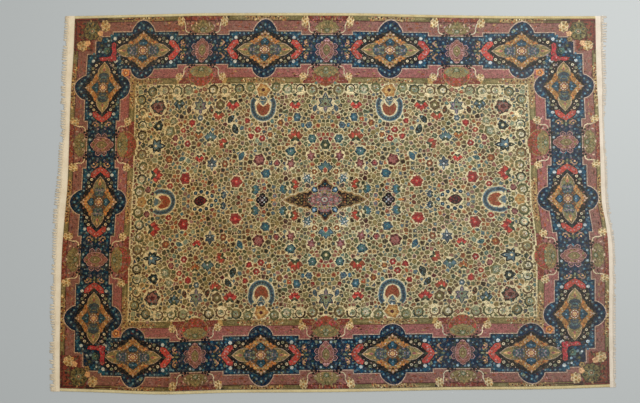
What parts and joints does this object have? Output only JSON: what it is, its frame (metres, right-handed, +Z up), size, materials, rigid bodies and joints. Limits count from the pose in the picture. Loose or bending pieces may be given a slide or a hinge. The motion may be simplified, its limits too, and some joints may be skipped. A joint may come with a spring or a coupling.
{
  "type": "hand-knotted rug",
  "caption": "Large rectangular hand-knotted rug with a dense pile, a rounded binding along each long side and a flat-woven, fringed end at each short side.",
  "frame": {"origin": "on the floor under the middle of the overall box, fringes included", "axes": "+X along the rug's length, from one fringed end to the other; +Y across it; +Z up out of the pile"},
  "size_m": [4.107, 2.8014, 0.009],
  "materials": {
    "pile_wool": "matte knotted wool pile, muted many-coloured flowers on a straw ground",
    "binding_cotton": "overcast straw-coloured yarn",
    "fringe_cotton": "undyed cream cotton warp, aged"
  },
  "bodies": {
    "root": {"pile": "pile_wool", "binding_north": "binding_cotton", "binding_south": "binding_cotton", "fringe_west": "fringe_cotton", "fringe_east": "fringe_cotton"}
  },
  "joints": []
}
